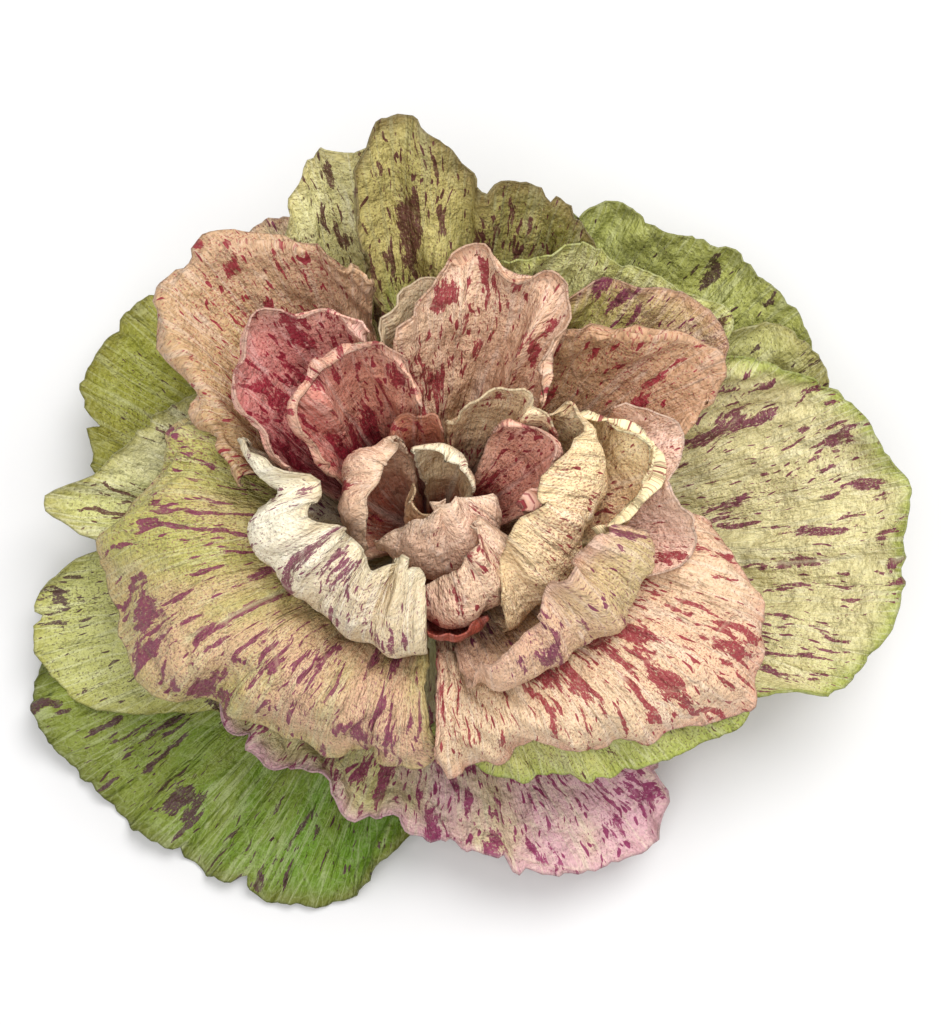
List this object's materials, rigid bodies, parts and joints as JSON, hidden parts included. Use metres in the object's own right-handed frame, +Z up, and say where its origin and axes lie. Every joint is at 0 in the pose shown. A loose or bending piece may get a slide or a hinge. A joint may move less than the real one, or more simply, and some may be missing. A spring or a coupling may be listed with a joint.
{
  "type": "radicchio head",
  "caption": "Variegated radicchio head opened into a rosette of separate waved leaves round a short cut stem, resting on a flat surface.",
  "frame": {"origin": "bottom centre of the head's box, on the surface that it rests on", "axes": "+Z up along the stem, -Y towards the viewer of the picture, +X to the right"},
  "size_m": [0.2428, 0.1938, 0.1046],
  "materials": {
    "guard_leaf": "soft green leaf with dark wine-brown specks and pale veins",
    "outer_leaf": "cream-green leaf with wine-red streaks along the veins",
    "rose_leaf": "salmon-pink leaf with crimson streaks and fine specks",
    "heart_leaf": "pale cream heart leaf with rose specks",
    "stem": "white stem with a dry cut face"
  },
  "bodies": {
    "root": {"stem": "stem", "guard_front_left": "guard_leaf", "guard_left": "guard_leaf", "guard_pale_left": "guard_leaf", "guard_back_right": "guard_leaf", "guard_right_back": "guard_leaf", "outer_front": "outer_leaf", "back_left_small": "outer_leaf", "outer_left": "outer_leaf", "outer_right": "outer_leaf", "outer_back_left": "outer_leaf", "outer_back": "outer_leaf", "outer_front_right": "outer_leaf", "outer_front_left": "outer_leaf", "front_right": "rose_leaf", "back_right_pale": "outer_leaf", "back_right_olive": "outer_leaf", "left_back": "rose_leaf", "right_back": "rose_leaf", "right_mid": "rose_leaf", "left_in": "rose_leaf", "back_cream": "rose_leaf", "back_in": "rose_leaf", "front_left_in": "heart_leaf", "left_heart": "rose_leaf", "front_right_in": "heart_leaf", "right_in": "rose_leaf", "right_heart": "heart_leaf", "back_heart": "heart_leaf", "shadow_front": "rose_leaf", "front_fold": "heart_leaf", "right_bulge": "rose_leaf", "small_back": "rose_leaf", "heart_left": "heart_leaf", "heart_front": "heart_leaf", "heart_back": "heart_leaf", "heart_curl": "heart_leaf"}
  },
  "joints": []
}
